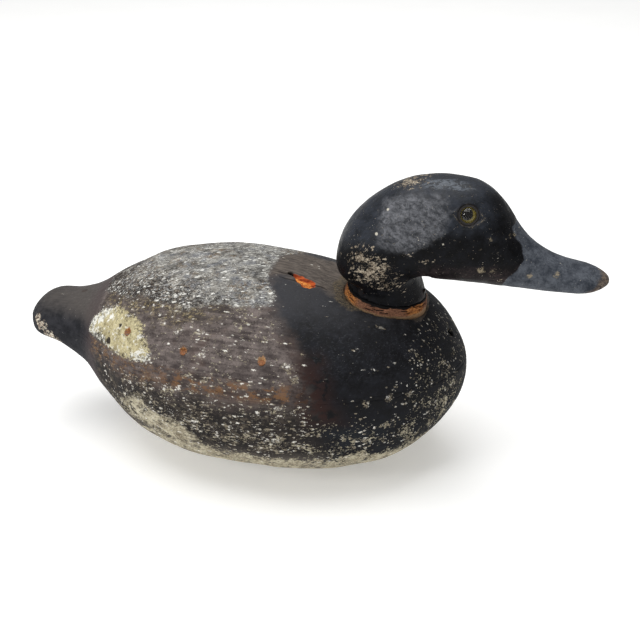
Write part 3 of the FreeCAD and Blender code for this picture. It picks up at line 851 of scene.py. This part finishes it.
def body_paint():
    m = BodyPaint()
    flank_coat(m)
    seam_streak(m)
    breast_coat(m)
    shoulder_and_tail_coats(m)
    grey_coat(m)
    clean, off_grey = clean_zone(m), m.step(m.grey, 2, -2)
    primer = bare_primer(m, clean, off_grey)
    flecks = white_flecks(m, clean, off_grey)
    tail_tip_chips(m)
    patch = putty_patch(m)
    collar_and_rust(m)
    raw_gouge(m)
    rough = m.between(0.55, 0.88, m.step(m.sum((m.fine, 0.5), (m.mottle, 0.5)), 0.35, 0.65))
    rough = m.between(rough, 0.94, m.either(primer, m.either(m.step(m.grey, -2, 2), patch)))
    brushed = m.both(m.strokes, m.step(m.grey, -1, 2))
    height = m.sum((m.fine, 0.5), (m.grain, 0.35), (m.mottle, 0.4), (primer, -0.5), (flecks, -0.3))
    height = m.sum(height, (brushed, 0.6))
    return m.finish(m.colour, rough, height, 0.32, Specular_IOR_Level=0.12)


# ---- Head paint: one function for each coat ----
class HeadPaint(Paint):
    """The paint of the head, with the noises that its coats share."""

    def __init__(self):
        super().__init__("head_paint")
        self.fine = self.noise(1.1, 5, 0.7)
        self.mottle = self.noise(6, 5, 0.65)
        self.patchy = self.noise(18, 4, 0.6)
        self.brushed = self.noise(1.6, 5, 0.75, stretch=2.2, turn=(0, 25, 0), bend=0.8)
        self.pepper = self.noise(1.5, 4, 0.78, stretch=1.5, turn=(0, 30, 0))
        self.wrinkled = self.noise(2.6, 5, 0.72, stretch=1.5, turn=(0, -20, 0), bend=0.5)


def crown_sheen_coat(m):
    """Black, with a painted blue-grey sheen on crown and nape and a painted highlight. Gives back the
    sheen's mask.
    """
    m.colour = m.shade("head", m.step(m.sum((m.mottle, 0.6), (m.fine, 0.4)), 0.36, 0.7))
    # painted sheen: the blue-grey that the overhead light gives the crown and nape, laid as colour
    blue = m.shade("crown", m.step(m.sum((m.brushed, 0.5), (m.mottle, 0.5)), 0.36, 0.66))
    mask = m.ragged(m.field("crown"), m.patchy, 9, 7)
    m.lay(blue, mask, 0.75)
    # painted highlight: a pale streaky reflection on top of the crown, laid as colour
    scuffs_and_highlight = m.ragged(m.field("sheen"), m.noise(2.5, 4, 0.75, stretch=4), 5, 1.0)
    m.lay((98, 104, 112), m.both(scuffs_and_highlight, m.step(m.brushed, 0.42, 0.58)), 0.7)
    return mask


def cheek_sheen_and_jaw_coats(m):
    """The wrinkled cheek, grey with a painted sheen, and the brown jaw. Gives back the sheen's mask."""
    # painted sheen: the grey of the flat cheek where it catches the light, laid as colour and broken by
    # the wrinkles
    mask = m.times(m.ragged(m.field("cheek"), m.mottle, 4, 3), 0.85)
    m.lay(m.shade("cheek", m.step(m.sum((m.wrinkled, 0.75), (m.fine, 0.3)), 0.38, 0.74)), mask)
    jaw = m.shade("jaw", m.step(m.sum((m.fine, 0.5), (m.mottle, 0.5)), 0.44, 0.68))
    m.lay(jaw, m.ragged(m.field("jaw"), m.mottle, 3, 3), 0.65)
    return mask


def worn_wood(m):
    """Tan wood on the nape, the crown and along the jaw, where the paint is gone. Gives back its mask."""
    wear = m.field("wear")
    uneven = m.add(m.noise(8, 3, 0.7), -0.5)
    worn = m.sum(m.pepper, (m.field("loss"), 0.1), (wear, 0.17), (uneven, 0.3))
    mask = m.both(m.step(worn, 0.655, 0.7), m.step(wear, -0.15, 0.2))
    nearby = m.step(wear, -0.35, 0.5)
    small = m.flecks(1.1, m.times(nearby, 0.5), 2.4, (0, 25, 0), 0.8)
    specks = m.step(m.sum(m.noise(0.9, 3, 0.8, stretch=2), (nearby, 0.05)), 0.67, 0.7)
    mask = m.either(mask, m.either(small, specks))
    m.lay(m.shade("tan", m.step(m.sum((m.fine, 0.7), (m.mottle, 0.3)), 0.4, 0.64)), mask, 0.92)
    return mask


def bill_coat(m):
    """Slate bill with a brown tip. Gives back the bill's mask."""
    slate = m.shade("bill", m.step(m.sum((m.mottle, 0.6), (m.fine, 0.4)), 0.36, 0.68))
    tip = m.shade("bill_tip", m.step(m.noise(1.6, 4, 0.75), 0.42, 0.6))
    slate = m.mix(slate, tip, m.times(m.ragged(m.field("tip"), m.mottle, 4, 2), 0.65))
    mask = m.ragged(m.field("bill"), m.mottle, 1.2, 0.5)
    m.lay(slate, mask)
    return mask


def head_chips(m):
    """Small pale chips, dots and smears, and the worn lids and dark sockets of the eyes."""
    chips = m.step(m.sum(m.noise(1.3, 3, 0.8), (m.noise(11, 3), 0.36)), 0.882, 0.904)
    chips = m.either(chips, m.step(m.field("dots"), -0.2, 0.3))
    smeared = m.ragged(m.field("smear"), m.noise(1.8, 5, 0.85, stretch=2), 4.5, 0.4)
    m.lay((146, 134, 112), m.both(smeared, m.step(m.pepper, 0.44, 0.52)), 0.8)
    m.lay((206, 200, 184), chips, 0.88)
    m.lay((118, 108, 92), m.both(m.step(m.field("lid"), 0.45, 0.8), m.step(m.fine, 0.48, 0.56)), 0.7)
    m.lay(m.shade("socket", m.fine), m.step(m.field("socket"), -0.8, 0.6), 0.75)
    return chips


def head_paint():
    m = HeadPaint()
    # crown and cheek hold the masks of the painted sheen
    crown = crown_sheen_coat(m)
    cheek = cheek_sheen_and_jaw_coats(m)
    worn = worn_wood(m)
    bill = bill_coat(m)
    chips = head_chips(m)
    rough = m.between(0.3, 0.62, m.step(m.sum((m.fine, 0.4), (m.mottle, 0.6)), 0.35, 0.65))
    rough = m.between(rough, 0.8, m.either(worn, m.times(cheek, 0.3)))
    rough = m.between(rough, 0.55, bill)
    wrinkles = m.both(m.wrinkled, cheek)
    height = m.sum((m.fine, 0.45), (m.mottle, 0.5), (m.brushed, 0.35), (worn, -0.5), (chips, -0.3))
    height = m.sum(height, (wrinkles, 0.9))
    # the painted sheen zones of crown and cheek also get a stronger specular
    shine = m.between(0.07, 0.22, m.either(crown, cheek))
    return m.finish(m.colour, rough, height, 0.26, Specular_IOR_Level=shine)


# ---- Putty ring and seam bead ----
ORANGE_PUTTY = ((69, -14, 112, 9), (110, -12, 110, 8))
PUTTY_CRACK_HEIGHTS = (5.6, 7.0, 8.3)
BEAD_SPREAD = 2.1


def neck_putty():
    """Layered brown putty, orange in places, with dark cracks and the neck's black over its top edge."""
    m = Paint("cracked_neck_putty")
    fine = m.noise(0.9, 5, 0.75)
    layers = m.noise(1.3, 4, 0.75, stretch=(7, 7, 0.8), bend=0.8)
    patches = m.noise(9, 3, 0.6)
    tone = m.step(m.sum((fine, 0.45), (layers, 0.55)), 0.38, 0.62)
    brown = m.blend((70, 46, 35), (152, 107, 82), tone)
    orange = m.blend((118, 68, 34), (194, 130, 72), m.step(fine, 0.38, 0.62))
    colour = m.mix(brown, orange, m.ragged(m.field("orange"), patches, 4, 3))
    gaps = m.either(m.step(m.field("crack"), 0.35, 0.7), m.times(m.step(layers, 0.56, 0.62), 0.75))
    colour = m.tinted(colour, (18, 12, 10), gaps)
    height_field = m.field("height")
    foot = m.step(m.add(height_field, m.times(layers, 3.0)), 6.0, 5.4)
    colour = m.tinted(colour, (146, 122, 92), foot, 0.6)
    over = m.step(m.add(height_field, m.times(patches, 3.4)), 9.9, 10.3)
    colour = m.tinted(colour, (12, 11, 12), over)
    height = m.sum((fine, 0.6), (layers, 0.8))
    return m.finish(colour, m.between(0.7, 0.95, fine), height, 0.5, Specular_IOR_Level=0.15)


def carve_putty(obj, seed):
    """Broken cracks that run round the ring in layers, and crumbled edges."""
    mesh = obj.data
    p = coordinates(mesh)
    r, h = from_neck(p)
    outer = smooth(22.2, 23.2, r) * smooth(0.5, 3.0, h)
    around = np.arctan2(p[:, 1], p[:, 0] - NECK[0]) * 25
    flat = np.zeros(len(h))
    wander = 1.5 * noise(np.stack([around, flat, flat], 1), 12, seed)
    wander += 0.6 * noise(np.stack([around, flat, flat + 9], 1), 4, seed + 1)
    crack = flat
    for k, level in enumerate(PUTTY_CRACK_HEIGHTS):
        gap = np.abs(h - level - wander * (0.5 + 0.5 * k))
        there = smooth(-0.15, 0.2, noise(np.stack([around, flat + 20 * k, flat], 1), 8, seed + 5 + k))
        crack = np.maximum(crack, smooth(0.5, 0.05, gap) * there)
    orange = nearest_ball(p, ORANGE_PUTTY)
    lift = 0.6 * noise(p, 6, seed + 2) + 0.35 * noise(p / np.array([3, 3, 1]), 1.6, seed + 4)
    lift -= 0.9 * crack + 0.2
    raise_surface(mesh, p, lift * outer)
    store(obj, {"crack": crack, "height": h, "orange": orange})


def flush_bead(obj, seed):
    """Spreads the seam putty over the rounded edges of both halves, then ages it with them."""
    p = coordinates(obj.data)
    seam_z = p[:, 2].mean()
    p[:, 2] = seam_z + (p[:, 2] - seam_z) * BEAD_SPREAD
    set_coordinates(obj.data, p)
    carve_body(obj, seed)


# ---- Metals, glass and the rest ----
def rusty_iron(name, bright=0.0, painted_middle=False):
    """Rusted iron. With painted_middle, what lies near the middle of the body is under black paint."""
    m = Paint(name)
    fine, blotch = m.noise(0.5, 5, 0.75), m.noise(2.5, 4, 0.65)
    rust = m.blend((82, 48, 30), (158, 104, 62), m.step(fine, 0.35, 0.65))
    iron = m.blend((54, 50, 48), (110, 106, 102), fine)
    clean = m.step(m.add(blotch, bright), 0.55, 0.68)
    colour = m.mix(rust, iron, clean)
    if painted_middle:
        _, y, _ = m.axes()
        middle = m.step(m.math("ABSOLUTE", y), 20, 15)
        colour = m.mix(colour, m.blend((30, 28, 28), (70, 64, 60), fine), m.times(middle, 0.95))
        clean = m.times(clean, m.invert(middle))
    height = m.sum((fine, 0.7), (blotch, 0.5))
    return m.finish(colour, m.between(0.92, 0.45, clean), height, 0.12, Metallic=m.times(clean, 0.85))


def painted_over(name):
    """Nail heads under the same black paint as the neck, with rust breaking through."""
    m = Paint(name)
    fine, blotch = m.noise(0.6, 5, 0.75), m.noise(1.8, 4, 0.7)
    colour = m.blend((9, 9, 10), (30, 29, 31), fine)
    rust = m.step(blotch, 0.58, 0.66)
    colour = m.tinted(colour, (108, 64, 38), rust, 0.8)
    return m.finish(colour, m.between(0.5, 0.9, rust), m.add(fine, blotch), 0.1, Specular_IOR_Level=0.2)


def worn_brass():
    m = Paint("tarnished_brass")
    fine, blotch = m.noise(0.6, 5, 0.7), m.noise(3, 4, 0.65)
    colour = m.blend((170, 132, 70), (112, 82, 46), m.step(blotch, 0.4, 0.62))
    green = m.step(m.sum((blotch, 0.6), (fine, 0.5)), 0.6, 0.68)
    colour = m.tinted(colour, (86, 110, 92), green, 0.7)
    metal = m.between(0.95, 0.2, green)
    return m.finish(colour, m.between(0.32, 0.7, blotch), m.add(fine, blotch), 0.06, Metallic=metal)


def dull_lead():
    m = Paint("dull_lead")
    fine, blotch = m.noise(0.9, 5, 0.7), m.noise(9, 5, 0.65)
    scratch = m.noise(0.7, 3, 0.7, stretch=14)
    tone = m.step(m.sum((blotch, 0.6), (fine, 0.4)), 0.35, 0.68)
    colour = m.blend((84, 86, 90), (136, 138, 142), tone)
    colour = m.tinted(colour, (176, 176, 172), m.step(blotch, 0.6, 0.7), 0.7)
    height = m.sum((fine, 0.5), (scratch, 0.4))
    return m.finish(colour, m.between(0.5, 0.82, blotch), height, 0.15, Metallic=0.55)


def bare_dowel():
    m = Paint("bare_dowel_wood")
    along_dowel = (0, -7.5, 0)
    grain = m.noise(0.8, 4, 0.6, stretch=(1, 1, 22), turn=along_dowel)
    blotch = m.noise(7, 4, 0.6)
    tone = m.step(m.sum((grain, 0.7), (blotch, 0.3)), 0.35, 0.66)
    colour = m.blend((150, 112, 70), (204, 168, 118), tone)
    return m.finish(colour, m.between(0.6, 0.8, grain), grain, 0.15)


def eye_glass():
    """Clear glass: it mirrors a little of what is round it, more towards its rim."""
    m = Paint("eye_glass")
    haze = m.noise(0.8, 4, 0.7)
    tint = m.blend((255, 255, 252), (240, 238, 228), haze)
    rim = m.node("LayerWeight", {"Blend": 0.25})
    seen = m.between(0.02, 0.16, rim.outputs["Facing"])
    return m.finish(tint, m.between(0.02, 0.06, haze), haze, 0.004, Metallic=1.0, Alpha=seen)


def eye_iris():
    m = Paint("eye_iris")
    rays = m.noise(0.35, 4, 0.7, stretch=(1, 1, 3))
    colour = m.blend((42, 37, 12), (122, 108, 38), m.step(rays, 0.35, 0.65))
    return m.finish(colour, m.between(0.5, 0.7, rays), rays, 0.05, Specular_IOR_Level=0.05)


def eye_pupil():
    """Black paint on the glass's back, set a little high and back, so that yellow shows beside it."""
    m = Paint("eye_pupil")
    haze = m.noise(0.5, 3, 0.6)
    middle = middle_of("eye_pupil_left") + np.array([-0.7, 0, 0.5])
    either_side = m.node("VectorMath", {0: m.place}, operation="ABSOLUTE").outputs[0]
    gap = m.node("VectorMath", {0: either_side, 1: tuple(middle)}, operation="DISTANCE")
    yellow = m.step(m.add(gap.outputs["Value"], m.times(m.add(haze, -0.5), 0.6)), 3.2, 3.7)
    black = m.blend((2, 2, 3), (9, 8, 8), haze)
    colour = m.mix(black, m.blend((58, 50, 14), (142, 126, 42), haze), yellow)
    return m.finish(colour, m.between(0.5, 0.7, haze), haze, 0.01, Specular_IOR_Level=0.02)


def eye_bedding():
    m = Paint("eye_bedding_putty")
    fine = m.noise(0.6, 5, 0.75)
    colour = m.blend((9, 8, 8), (44, 34, 28), m.step(fine, 0.44, 0.7))
    return m.finish(colour, m.between(0.6, 0.9, fine), fine, 0.15)


# ---- Build ----
BODY_SEED = 41
HEAD_SEED = 61
PUTTY_SEED = 71


def build_wood():
    wood = body_paint()
    for node in ("body_upper", "body_lower"):
        half = refined(node, "painted_" + node, 1.0, 5, "hull")
        if node == "body_upper":
            divide(half, GOUGE_MIDDLE, 16, 2)
        carve_body(half, BODY_SEED)
        paint(half, wood)
    bead = refined("seam_filler", "painted_seam_bead", 0.6, 1, "hull")
    flush_bead(bead, BODY_SEED)
    paint(bead, wood)
    head = refined("head", "painted_head", 0.7, 5, "head")
    carve_head(head, HEAD_SEED)
    paint(head, head_paint())
    putty = refined("neck_filler", "cracked_putty_ring", 0.42, 2, "hull")
    carve_putty(putty, PUTTY_SEED)
    paint(putty, neck_putty())


def build_metal():
    ballast = refined("ballast_weight", "lead_pad", 0.8, 2, "hull")
    p = coordinates(ballast.data)
    lift = 0.22 * noise(p, 11, 81) + 0.1 * noise(p, 4, 82)
    lift *= smooth(7.9, 7.0, p[:, 2])
    raise_surface(ballast.data, p, np.minimum(lift, 0))
    paint(ballast, dull_lead())
    for node, name, body, material in (
        ("line_ring", "tarnished_ring", "line_ring", worn_brass()),
        ("line_staple", "wire_staple", "hull", rusty_iron("staple_wire", 0.08)),
    ):
        wire = refined(node, name, 0.3, 2, body)
        p = coordinates(wire.data)
        raise_surface(wire.data, p, 0.07 * noise(p, 3.0, 91) - 0.05)
        paint(wire, material)


def dress_nodes():
    """Better materials for the CAD nodes that are shown as they are."""
    looks = {
        "seam_nails": rusty_iron("rusty_nails", painted_middle=True),
        "ballast_nails": rusty_iron("ballast_nail_iron", 0.05),
        "neck_nails": painted_over("neck_nail_paint"),
        "head_screw": rusty_iron("screw_steel", 0.14),
        "head_washer": rusty_iron("washer_steel", 0.12),
        "neck_dowel": bare_dowel(),
    }
    eyes = {"glass": eye_glass(), "iris": eye_iris(), "pupil": eye_pupil(), "putty": eye_bedding()}
    eyes["wire"] = rusty_iron("eye_wire", 0.1)
    for kind, material in eyes.items():
        for side in ("left", "right"):
            looks["eye_" + kind + "_" + side] = material
    for node, material in looks.items():
        paint(frame["nodes"][node], material)
        for polygon in frame["nodes"][node].data.polygons:
            polygon.use_smooth = "glass" in node


def floor():
    """A pale floor that lies just under the lowest point."""
    half = 3.0
    mesh = bpy.data.meshes.new("floor")
    square = [(-half, -half, 0), (half, -half, 0), (half, half, 0), (-half, half, 0)]
    mesh.from_pydata(square, [], [(0, 1, 2, 3)])
    obj = add_object("floor", mesh)
    obj.location.z = -0.0002
    m = Paint("pale_floor")
    cloud = m.noise(60, 3, 0.5)
    pale = m.blend((238, 238, 237), (243, 243, 242), cloud)
    paint(obj, m.finish(pale, 0.9, Emission_Color=pale, Emission_Strength=0.3))


def aim(obj, place, direction):
    obj.location = place
    obj.rotation_mode = "QUATERNION"
    obj.rotation_quaternion = direction.to_track_quat("-Z", "Y")


def softbox(name, place, target, size, power):
    """A soft rectangular light that looks at a target. Lengths are in metres."""
    light = bpy.data.lights.new(name, "AREA")
    light.shape = "RECTANGLE"
    light.size, light.size_y = size
    light.energy = power
    aim(add_object(name, light), Vector(place), Vector(target) - Vector(place))


WORLD_LIGHT = 0.42  # how strongly the pale surroundings light the decoy
WORLD_SEEN = 0.93  # how bright they look to the camera


def lights():
    world = bpy.data.worlds.new("studio")
    bpy.context.scene.world = world
    world.use_nodes = True
    back = world.node_tree.nodes["Background"]
    back.inputs[0].default_value = (1, 1, 1, 1)
    seen_directly = world.node_tree.nodes.new("ShaderNodeLightPath").outputs["Is Camera Ray"]
    strength = world.node_tree.nodes.new("ShaderNodeMapRange")
    strength.inputs["To Min"].default_value = WORLD_LIGHT
    strength.inputs["To Max"].default_value = WORLD_SEEN
    world.node_tree.links.new(seen_directly, strength.inputs["Value"])
    world.node_tree.links.new(strength.outputs[0], back.inputs[1])
    middle = (0.03, 0, 0.09)
    softbox("overhead", (-0.15, 0.1, 1.5), middle, (1.7, 1.3), 22)
    softbox("left_front", (-0.9, -1.1, 0.8), middle, (0.45, 0.45), 7)


VIEW_TARGET_M = (0.0483, 0.0, 0.0854)
VIEW_DISTANCE_M = 0.7
VIEW_AZIMUTH, VIEW_ELEVATION = math.radians(14), math.radians(28)


def camera():
    back = Vector((
        math.sin(VIEW_AZIMUTH) * math.cos(VIEW_ELEVATION),
        -math.cos(VIEW_AZIMUTH) * math.cos(VIEW_ELEVATION),
        math.sin(VIEW_ELEVATION),
    ))
    data = bpy.data.cameras.new("camera")
    data.sensor_width = 36.0
    data.lens = 63.82
    data.clip_start, data.clip_end = 0.05, 20
    obj = add_object("camera", data)
    aim(obj, Vector(VIEW_TARGET_M) + back * VIEW_DISTANCE_M, -back)
    bpy.context.scene.camera = obj


build_wood()
build_metal()
dress_nodes()
floor()
lights()
camera()
bpy.context.scene.view_settings.view_transform = "Standard"
